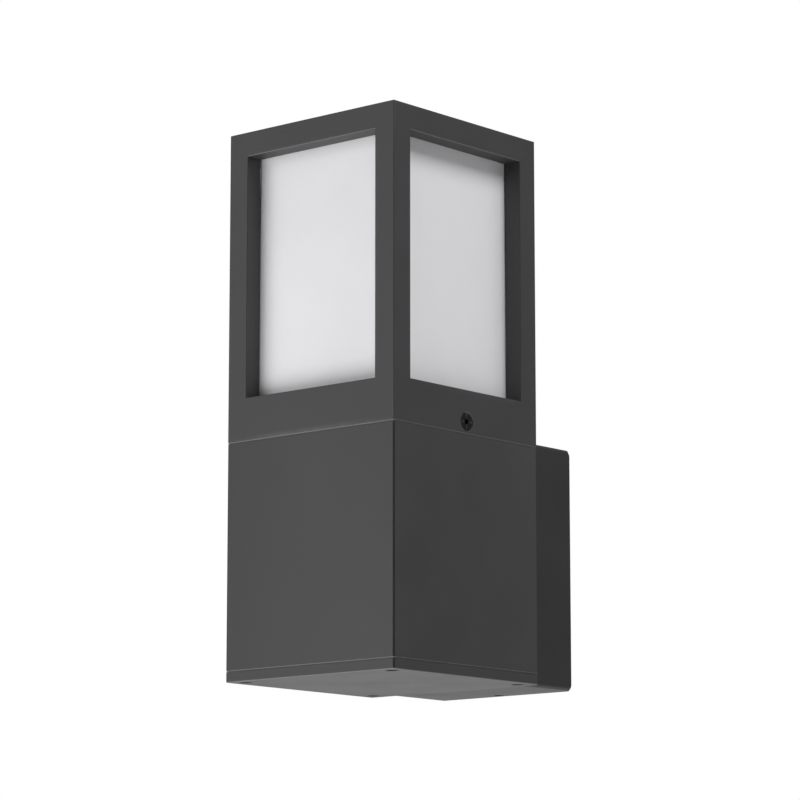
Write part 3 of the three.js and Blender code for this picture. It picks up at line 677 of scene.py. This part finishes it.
# Opal diffuser
diffuserLow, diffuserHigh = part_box("opal_diffuser")
diffuserSizes = {
    "foot": 40.9 * mm,           # half width at the open foot
    "draft": 0.45 * mm,          # how much narrower at the top
    "upright": 1.8 * mm,         # rounding of the upright edges
    "crown": 2.0 * mm,           # rounding of the top edges
    "wall": 2.5 * mm,
    "sink": 0.12 * mm,           # how far each face dips in at its middle
}


def makeDiffuser(s):
    # a square cup with round edges: each loop is an outline whose half width falls with
    # height by the draft, and each face dips by sink (1 - (u / half)^2) at its middle
    low, high = diffuserLow.z, diffuserHigh.z
    across = np.linspace(-0.86, 0.86, 9)

    def loopAt(inset, height):
        half = s["foot"] - s["draft"] * (height - low) / (high - low) - inset
        radius = max(s["upright"] - inset, 0.4 * mm)
        fixed = across * (half - radius)
        loop = roundedLoop(half, half, radius, 6, fixed, fixed)
        u = np.clip(np.abs(loop) / half, 0, 1)
        dip = s["sink"] * (1 - u[:, ::-1] ** 2) * (u > 0.9999)
        loop = loop * (1 - dip / half)
        return np.column_stack([loop[:, 0], loop[:, 1] + axisY, np.full(len(loop), height)])

    sine, drop = quarterTurn(6)
    loops = [loopAt(0.3 * mm, low)]
    loops.append(loopAt(0.0, low + 0.3 * mm))
    loops += [loopAt(0.0, h) for h in np.linspace(low + 8 * mm, high - s["crown"], 9)]
    outside = [loopAt(s["crown"] * drop[k], high - s["crown"] * (1 - sine[k])) for k in range(1, 7)]
    loops += outside
    loops += [(outside[-1] - [0, axisY, high]) * [q, q, 1] + [0, axisY, high] for q in (0.9, 0.5, 0.0)]
    inside = [loopAt(s["wall"] - 0.2 * mm, low), loopAt(s["wall"], low + 0.2 * mm)]
    inside += [loopAt(s["wall"], h) for h in np.linspace(low + 8 * mm, high - s["crown"], 5)]
    top = high - s["wall"]
    inside += [loopAt(s["wall"] + 0.6 * mm, top)]
    inside += [(inside[-1] - [0, axisY, top]) * [q, q, 1] + [0, axisY, top] for q in (0.5, 0.0)]
    shells = (loops, inside, [loops[0], inside[0]])      # outside, inside, and the foot between
    sheets = [sheet(np.array(rows), aroundColumns=True) for rows in shells]
    pieceFrom("opalCup", sheets, materials["opal"], "head", ["opal_diffuser"])


makeDiffuser(diffuserSizes)
print("diffuser made")


# Body housing

def refinedCopy(node, body, softening, material=None):
    # the node's own solid with its coplanar triangles joined and its edges softened
    source = frame["nodes"][node]
    mesh = source.data.copy()
    work = bmesh.new()
    work.from_mesh(mesh)
    bmesh.ops.remove_doubles(work, verts=work.verts, dist=weld)
    bmesh.ops.dissolve_limit(work, angle_limit=math.radians(0.6), verts=work.verts,
                             edges=work.edges)
    work.to_mesh(mesh)
    work.free()
    mesh.shade_smooth()
    mesh.set_sharp_from_angle(angle=math.radians(32))
    mesh.materials.clear()
    mesh.materials.append(material or materials[slotOf[node]])
    piece = bpy.data.objects.new(node + "_fine", mesh)
    scene.collection.objects.link(piece)
    bevel = piece.modifiers.new("softEdges", "BEVEL")
    bevel.width = softening
    bevel.segments = 2
    bevel.limit_method = "ANGLE"
    bevel.angle_limit = math.radians(32)
    bevel.harden_normals = True
    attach(piece, body)
    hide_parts(node)
    return piece


bodySizes = {
    "softening": 0.05 * mm,
    "rim": 0.06 * mm,            # what is left of the chamfer along the top: the seam stays fine
    "lowerRim": 0.55 * mm,       # flat break along the lower rim
    "band": 0.5 * mm,            # how close to a rim a point belongs to its chamfer
}


def makeBody(s):
    # the housing's own solid, with the chamfer along its top rim drawn in, the lower one out
    body = refinedCopy("body_housing", "body", s["softening"], materials["housingCoat"])
    points = np.empty(len(body.data.vertices) * 3)
    body.data.vertices.foreach_get("co", points)
    points = points.reshape(-1, 3)
    low, high = (corner.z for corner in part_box("body_housing"))
    flat = points[:, :2] - [0, axisY]
    out = np.abs(flat).max(1)
    rim = (points[:, 2] > high - s["band"]) & (out > columnHalf - s["band"] * 1.5)
    top = rim & (points[:, 2] > high - 0.01 * mm)
    points[top, :2] = (flat * ((columnHalf - s["rim"]) / out)[:, None])[top] + [0, axisY]
    points[rim & ~top, 2] = high - s["rim"]
    rim = (points[:, 2] < low + s["band"]) & (out > columnHalf - s["band"] * 1.5)
    foot = rim & (points[:, 2] < low + 0.01 * mm)
    points[foot, :2] = (flat * ((columnHalf - s["lowerRim"]) / out)[:, None])[foot] + [0, axisY]
    points[rim & ~foot, 2] = low + s["lowerRim"]
    body.data.vertices.foreach_set("co", points.ravel())
    body.data.update()


makeBody(bodySizes)


# Bottom cover
coverLow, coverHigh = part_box("bottom_cover")
screwLow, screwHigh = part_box("cover_screw_1")
coverSizes = {
    "edge": 0.45 * mm,           # rounding round the underside
    "topEdge": 0.06 * mm,
    "rise": 0.22 * mm,           # how far the top closes the seam below the body
    "corner": 0.8 * mm,
    "margin": 1.6 * mm,          # flat rim kept round the drilled grid
    "reach": 4.4 * mm,           # half width of the square each pocket is drilled in
    "pocket": [(3.3, 0.0), (3.15, 0.15), (3.15, 1.15), (1.75, 2.55)],
}


def drilledSheet(along, height, centres, reach, steps):
    # a flat square grid over the given stations, with a block of the given reach round each
    # centre opened and joined to circles that sink in by the given steps
    x, y = np.meshgrid(along, along, indexing="xy")
    grid = np.stack([x, y + axisY, np.full(x.shape, height)], -1)
    blocks = []
    for cx, cy in centres:
        near = np.nonzero(np.abs(along - cx) < reach * 1.01)[0]
        far = np.nonzero(np.abs(along - cy) < reach * 1.01)[0]
        blocks.append((far[0], far[-1], near[0], near[-1]))
    sheets = [sheet(grid, cut=blocks)]
    for (cx, cy), block in zip(centres, blocks):
        centre = (cx, cy + axisY, height)
        sheets.append(circleBand(rimOf(grid, *block), centre, (0, 1, 0), (1, 0, 0), steps))
    return sheets


def makeCover(s):
    # underside and top are drilled grids; rounded-square loops carry the edge between them
    half, edge, fine = columnHalf, s["edge"], s["topEdge"]
    low, high = coverLow.z, coverHigh.z + s["rise"]
    at = (screwLow.x + screwHigh.x) / 2
    cell = np.linspace(-s["reach"], s["reach"], 6)
    inner = np.concatenate([-at + cell, [-25 * mm, -9 * mm, 9 * mm, 25 * mm], at + cell])
    grid = half - s["margin"]
    inner = inner[np.abs(inner) < grid - 0.3 * mm]
    along = np.concatenate([[-grid], inner, [grid]])
    centres = [(sx * at, sy * at) for sx in (-1, 1) for sy in (-1, 1)]
    pocket = [(r * mm, d * mm) for r, d in s["pocket"]]
    bore = pocket[-1][0]
    sheets = drilledSheet(along, low, centres, s["reach"], pocket + [(bore, high - low)])
    sheets += drilledSheet(along, high, centres, s["reach"], [(bore, 0.0)])
    sine, drop = quarterTurn(4)
    rows = [(grid, 0.0, low)]
    for a, b in zip(sine, drop):
        rows.append((half - edge + edge * a, s["corner"] - edge + edge * a, low + edge * b))
    for a, b in zip(sine, drop):
        rows.append((half - fine * b, s["corner"] - fine * b, high - fine + fine * a))
    rows.append((grid, 0.0, high))
    loops = []
    for h, r, z in rows:
        loop = roundedLoop(h, h, r, 5, inner, inner)
        loops.append(np.column_stack([loop + [0, axisY], np.full(len(loop), z)]))
    sheets.append(sheet(np.array(loops), aroundColumns=True))
    pieceFrom("coverPlate", sheets, materials["housingCoat"], "cover", ["bottom_cover"])


makeCover(coverSizes)
print("cover made")


# Screws
# radii of head and shank, length, width of the hex socket and thread pitch, millimetres
screwKinds = {
    "cage_screw": {"kind": "flat", "head": 4.0, "shank": 2.0, "length": 4.35, "socket": 2.5,
                   "pitch": 0.7},
    "cover_screw": {"kind": "flat", "head": 2.9, "shank": 1.5, "length": 15, "socket": 2, "pitch": 0.5},
    "tray_screw": {"kind": "flat", "head": 2.9, "shank": 1.5, "length": 11, "socket": 2, "pitch": 0.5},
    "retainer_screw": {"kind": "pan", "head": 2.1, "headHeight": 1.3, "shank": 1.2, "length": 7,
                       "socket": 1.5, "pitch": 0.45},
    "lampholder_screw": {"kind": "pan", "head": 2.8, "headHeight": 2, "shank": 1.5, "length": 11,
                         "socket": 2, "pitch": 0.5},
    "block_screw": {"kind": "pan", "head": 2.7, "headHeight": 2, "shank": 1.5, "length": 15,
                    "socket": 2, "pitch": 0.5, "plain": 0.7},     # plain: share without thread
    "box_screw": {"kind": "pan", "head": 4.2, "headHeight": 2.6, "shank": 2.5, "length": 10,
                  "socket": 3, "pitch": 0.8},
    "earth_screw": {"kind": "pan", "head": 3.5, "headHeight": 2.4, "shank": 2, "length": 6,
                    "socket": 2.5, "pitch": 0.7},
    "wall_set_screw": {"kind": "grub", "head": 2, "shank": 2, "length": 6.7, "socket": 2, "pitch": 0.7},
}
screwDirections = {
    "cage_screw_right": (1, 0, 0), "cage_screw_left": (-1, 0, 0), "cover_screw": (0, 0, -1),
    "tray_screw": (0, 0, 1), "retainer_screw": (0, 0, -1), "lampholder_screw": (0, 0, 1),
    "block_screw": (0, -1, 0), "box_screw": (0, 1, 0), "earth_screw": (0, -1, 0),
    "wall_set_screw": (0, 0, -1),
}
bodies = frame["record"]["behaviour"]["bodies"]
bodyOf = {node: body for body, nodes in bodies.items() for node in nodes}


def camel(node):
    words = node.split("_")
    return words[0] + "".join(word.title() for word in words[1:])


def showNode(node, surface, sharpAngle=32):
    # one closed surface that stands for one node, in that node's finish
    finish = slotOf[node]
    return pieceFrom(camel(node), [surface], materials[finish], bodyOf[node], [node],
                     sharpAngle)


def makeScrew(node):
    kind = next(kind for name, kind in screwKinds.items() if node.startswith(name))
    direction = next(way for name, way in screwDirections.items() if node.startswith(name))
    direction = np.array(direction, float)
    low, high = (np.array(corner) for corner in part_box(node))
    reach = np.abs(direction) @ (high - low) / 2 - kind.get("headHeight", 0) * mm
    seat = (low + high) / 2 + direction * reach
    showNode(node, sheet(aimed(screwPoints(kind), direction, seat), aroundColumns=True))


screwNodes = [node for node in frame["nodes"] if node.startswith(tuple(screwKinds))]
for node in screwNodes:
    makeScrew(node)
print("screws made:", len(screwNodes))


# Lamp and lampholder
def softened(profile, radius, steps=3):
    # every inner corner p of a profile becomes (1-t)^2 a + 2t(1-t) p + t^2 b, where a and b
    # lie on its two sides at the given distance
    p = np.asarray(profile, float)
    before, after = p[:-2] - p[1:-1], p[2:] - p[1:-1]
    lengthBefore = np.linalg.norm(before, axis=1, keepdims=True)
    lengthAfter = np.linalg.norm(after, axis=1, keepdims=True)
    a = p[1:-1] + before / lengthBefore * np.minimum(radius, 0.42 * lengthBefore)
    b = p[1:-1] + after / lengthAfter * np.minimum(radius, 0.42 * lengthAfter)
    t = np.linspace(0, 1, steps + 1)[None, :, None]
    curves = (1 - t) ** 2 * a[:, None] + 2 * t * (1 - t) * p[1:-1, None] + t ** 2 * b[:, None]
    return np.concatenate([p[:1], curves.reshape(-1, 2), p[-1:]])


def turnedPiece(node, profile, radius=0.25):
    # profile rows are (radius, height above the column's foot) in millimetres
    rows = softened(profile, radius) * mm
    points = turnedPoints(list(rows[:, 0]), rows[:, 1], 64) + [0, axisY, columnLow.z]
    showNode(node, sheet(points, aroundColumns=True))


# outlines as (radius, height above the column's foot); cap and sleeve as (radius, foot, top)
lampSizes = {
    "foot": [(0, 107), (3.4, 107), (4.8, 107.7), (4.8, 108.2), (0, 108.2)],
    "insulator": [(0, 108.3), (5.4, 108.3), (11.4, 110.6), (11.4, 111.4), (0, 111.4)],
    "shell": [(0, 131.4), (13.4, 131.4), (13.9, 133.5), (15.5, 137), (18.0, 143), (21.0, 149),
              (24.2, 156.5), (26.6, 163.2), (27.2, 165), (0, 165)],
    "globeCentre": 185.0, "globeRadius": 30.0, "globeWall": 1.2, "globeBase": 165.3,
    "cap": (13.0, 113.2, 130.8), "capWall": 11.7, "capFoot": (11.6, 111.6),
    "pitch": 3.629, "threadDepth": 0.8,
    "sleeve": (13.65, 108.8, 129.2), "sleeveWall": 0.3, "sleeveDepth": 0.3,
}


def threadedTube(node, outside, inside, low, high, depth, pitch, foot=None, insideThread=False):
    # a tube whose wall follows the screw thread r = radius + depth wave(z / pitch - a / turn)
    count = 72
    outer, heights = threadRows(outside, depth, pitch, low, high, count, 10)
    if insideThread:
        inner = threadRows(inside, depth, pitch, low, high, count, 10)[0][::-1]
        innerHeights = heights[::-1]
    else:
        inner, innerHeights = np.full((2, count), inside), np.array([high, low])
    radii = list(outer) + list(inner)
    rows = list(heights) + list(innerHeights)
    if foot is not None:
        radii = [np.full(count, foot[0])] + radii
        rows = [foot[1]] + rows
    points = turnedPoints(radii, rows, count) * mm + [0, axisY, columnLow.z]
    showNode(node, sheet(points, aroundColumns=True, aroundRows=True), 40)


def makeLamp(s):
    turnedPiece("lamp_foot_contact", s["foot"])
    turnedPiece("lamp_insulator", s["insulator"], 0.3)
    turnedPiece("lamp_shell", s["shell"], 0.8)
    radius, low, high = s["cap"]
    threadedTube("lamp_cap", radius, s["capWall"], low, high, s["threadDepth"], s["pitch"],
                 s["capFoot"])
    radius, low, high = s["sleeve"]
    threadedTube("lampholder_sleeve", radius + s["sleeveWall"], radius, low, high, s["sleeveDepth"],
                 s["pitch"], insideThread=True)
    centre, outer, inner = s["globeCentre"], s["globeRadius"], s["globeRadius"] - s["globeWall"]
    lowAngle = math.asin((s["globeBase"] - centre) / outer)
    angle = np.linspace(lowAngle, np.pi / 2, 40)
    innerAngle = np.linspace(np.pi / 2, math.asin((s["globeBase"] - centre) / inner), 30)
    outerArc = np.stack([outer * np.cos(angle), centre + outer * np.sin(angle)], 1)
    innerArc = np.stack([inner * np.cos(innerAngle), centre + inner * np.sin(innerAngle)], 1)
    rows = np.maximum(np.concatenate([outerArc, innerArc]), 0) * mm
    points = turnedPoints(list(rows[:, 0]), rows[:, 1], 72) + [0, axisY, columnLow.z]
    showNode("lamp_globe", sheet(points, aroundColumns=True, aroundRows=True))


makeLamp(lampSizes)
print("lamp made")


# Wires
wireSizes = {
    "radius": 1.4 * mm,
    "live": [(-8, 36, 36), (-8, 36, 44), (-9, 35, 54), (-10, 28, 64), (-9, 18, 72),
             (-6.5, 12, 79), (-6, 11, 86), (-6, 11, 95)],
    "earth": [(0, 36, 36), (0, 36, 42), (1.5, 33, 48.5), (8, 29.8, 52), (15, 32, 51), (19, 37, 47.5)],
}


def routeThrough(stops, steps=14):
    # q(t) = (2 p1 + (p2 - p0) t + (2 p0 - 5 p1 + 4 p2 - p3) t^2
    # + (3 p1 - p0 - 3 p2 + p3) t^3) / 2
    p = np.asarray(stops, float)
    p = np.concatenate([[2 * p[0] - p[1]], p, [2 * p[-1] - p[-2]]])
    p0, p1, p2, p3 = (p[k:len(p) - 3 + k, None] for k in range(4))
    t = np.linspace(0, 1, steps, endpoint=False)[None, :, None]
    curve = (2 * p1 + (p2 - p0) * t + (2 * p0 - 5 * p1 + 4 * p2 - p3) * t ** 2
             + (3 * p1 - p0 - 3 * p2 + p3) * t ** 3) / 2
    return np.concatenate([curve.reshape(-1, 3), p[-2:-1]])


def makeWire(node, stops, reference):
    # a circle carried along the route: centre(s) + r (cos a side(s) + sin a up(s)), with
    # rounded ends; its UV map holds the turn round the wire and the length along it
    radius, count = wireSizes["radius"], 20
    route = routeThrough(stops) * mm + [0, axisY, columnLow.z]
    tangent = np.gradient(route, axis=0)
    tangent /= np.linalg.norm(tangent, axis=1, keepdims=True)
    side = np.cross(tangent, reference)
    side /= np.linalg.norm(side, axis=1, keepdims=True)
    up = np.cross(tangent, side)
    ends = [0, 0.75, 1.0]
    rows = np.r_[0, 0, np.arange(len(route)), len(route) - 1, len(route) - 1]
    route, side, up = route[rows], side[rows], up[rows]
    width = radius * np.concatenate([ends, np.ones(len(route) - 6), ends[::-1]])
    angle = np.arange(count) * 2 * np.pi / count
    ring = np.cos(angle)[None, :, None] * side[:, None] + np.sin(angle)[None, :, None] * up[:, None]
    points = route[:, None] + width[:, None, None] * ring
    piece = showNode(node, sheet(points, aroundColumns=True), 50)
    layer = piece.data.uv_layers.new(name="alongWire")
    corner = np.empty(len(piece.data.loops), int)
    piece.data.loops.foreach_get("vertex_index", corner)
    place = np.empty(len(piece.data.vertices) * 3)
    piece.data.vertices.foreach_get("co", place)
    place = place.reshape(-1, 3)[corner]
    nearest = np.argmin(((place[:, None] - route[None]) ** 2).sum(-1), 1)
    offset = place - route[nearest]
    angle = np.arctan2((offset * up[nearest]).sum(1), (offset * side[nearest]).sum(1))
    turn = angle / (2 * np.pi) + 0.5
    layer.data.foreach_set("uv", np.stack([turn, nearest / len(route)], 1).ravel())


makeWire("live_wire", wireSizes["live"], (1.0, 0.0, 0.0))
makeWire("neutral_wire", [(-x, y, z) for x, y, z in wireSizes["live"]], (1.0, 0.0, 0.0))
makeWire("earth_wire", wireSizes["earth"], (0.0, 1.0, 0.0))
print("wires made")


# Other fine pieces
softenings = {                   # edge softening of each refined copy, millimetres
    "wall_box": 0.35, "lamp_tray": 0.3, "lampholder_body": 0.5, "terminal_block": 0.35,
    "wall_plate": 0.3, "diffuser_retainer": 0.15, "cover_gasket": 0.2, "box_gasket": 0.15,
    "wall_gasket": 0.3, "diffuser_gasket": 0.2, "spigot_seal": 0.4, "cable_bush": 0.3,
    "plate_grommet": 0.3, "earth_lug": 0.12, "lampholder_contact": 0.08,
    "terminal_screw_live": 0.12, "terminal_screw_earth": 0.12, "terminal_screw_neutral": 0.12,
}
for node, softening in softenings.items():
    # the wall box takes the darker copy of the powder, which is painted shade
    coat = materials["castCoat"] if node == "wall_box" else None
    refinedCopy(node, bodyOf[node], softening * mm, coat)
print("fine pieces made:", len(softenings))


# Surroundings
surroundings = {
    "front": 0.1, "below": 0.17, "left": 0.05, "right": 0.05, "above": 0.14, "behind": 0.3,
    "floorHeight": -1.6,
    "floorGlow": 0.5,             # keeps the floor pale, and lights the underside
    "softboxes": {                # bearing from the front towards +X, climb, distance, side, watts
        "sideLight": (90, 45, 2.5, 1.2, 33.0),
        "rearLight": (125, 45, 2.5, 1.2, 6.5),
        "keyLight": (-25, 0, 2.5, 1.2, 6.5),
        "highKeyLight": (-25, 30, 2.5, 1.2, 5.6),
        "leftLight": (-45, 10, 2.5, 1.2, 6.2),
        "lowLight": (-10, -35, 0.9, 0.5, 3.5),
        "lowBackLight": (-140, -40, 2.5, 1.4, 7.6),
    },
}


def makeWorld(s):
    # the camera sees white; light from each direction is a blend of six strengths
    world = bpy.data.worlds.new("studio")
    world.use_nodes = True
    nodes, links = world.node_tree.nodes, world.node_tree.links
    nodes.clear()
    direction = nodes.new("ShaderNodeTexCoord")
    split = nodes.new("ShaderNodeSeparateXYZ")
    links.new(direction.outputs["Generated"], split.inputs["Vector"])
    total = None
    for axis, sign, label in (("X", 1, "right"), ("X", -1, "left"), ("Y", 1, "behind"),
                              ("Y", -1, "front"), ("Z", 1, "above"), ("Z", -1, "below")):
        signed = mathNode(nodes, links, "MULTIPLY", split.outputs[axis], sign)
        facing = mathNode(nodes, links, "MAXIMUM", signed, 0.0)
        squared = mathNode(nodes, links, "POWER", facing, 2.0)
        share = mathNode(nodes, links, "MULTIPLY", squared, s[label])
        total = share if total is None else mathNode(nodes, links, "ADD", total, share)
    light = nodes.new("ShaderNodeBackground")
    light.inputs["Color"].default_value = (1, 1, 1, 1)
    links.new(total, light.inputs["Strength"])
    white = nodes.new("ShaderNodeBackground")
    white.inputs["Color"].default_value = (1, 1, 1, 1)
    white.inputs["Strength"].default_value = 1.0
    path = nodes.new("ShaderNodeLightPath")
    mix = nodes.new("ShaderNodeMixShader")
    links.new(path.outputs["Is Camera Ray"], mix.inputs["Fac"])
    links.new(light.outputs["Background"], mix.inputs[1])
    links.new(white.outputs["Background"], mix.inputs[2])
    out = nodes.new("ShaderNodeOutputWorld")
    links.new(mix.outputs["Shader"], out.inputs["Surface"])
    scene.world = world


def makeSoftboxes(s):
    # square lights on a sphere round the lantern's middle, each facing it
    middle = np.array([0, axisY, 0.07])
    for name, (bearing, climb, distance, side, watts) in s["softboxes"].items():
        turn, tilt = math.radians(bearing), math.radians(climb)
        level = math.cos(tilt)
        away = np.array([math.sin(turn) * level, -math.cos(turn) * level, math.sin(tilt)])
        lamp = bpy.data.lights.new(name, "AREA")
        lamp.shape = "SQUARE"
        lamp.size = side
        lamp.energy = watts
        holder = bpy.data.objects.new(name, lamp)
        holder.location = middle + away * distance
        holder.rotation_euler = Euler((math.radians(90 - climb), 0, turn))
        scene.collection.objects.link(holder)


def makeFloor(s):
    # a wide pale floor far below the lantern
    axis = np.linspace(-6, 6, 25)
    x, y = np.meshgrid(axis, axis, indexing="ij")
    points, faces = sheet(np.stack([x, y, np.full(x.shape, s["floorHeight"])], -1))
    mesh = bpy.data.meshes.new("floor")
    mesh.from_pydata(points.tolist(), [], faces.tolist())
    floor = bpy.data.objects.new("floor", mesh)
    material = bpy.data.materials.new("paleFloor")
    material.use_nodes = True
    shader = material.node_tree.nodes["Principled BSDF"]
    nodes, links = material.node_tree.nodes, material.node_tree.links
    grain = placeGroup(nodes, fineGrain, {"Grain Size": 0.01, "Waviness": 0.2})
    shade = mixColours(nodes, links, grain.outputs["Patch"], (0.86, 0.86, 0.86), (0.9, 0.9, 0.9))
    links.new(shade, shader.inputs["Base Color"])
    shader.inputs["Roughness"].default_value = 0.8
    links.new(shade, shader.inputs["Emission Color"])
    shader.inputs["Emission Strength"].default_value = s["floorGlow"]
    mesh.materials.append(material)
    scene.collection.objects.link(floor)


makeWorld(surroundings)
makeSoftboxes(surroundings)
makeFloor(surroundings)
scene.view_settings.view_transform = "Standard"
scene.view_settings.look = "None"
print("surroundings made")
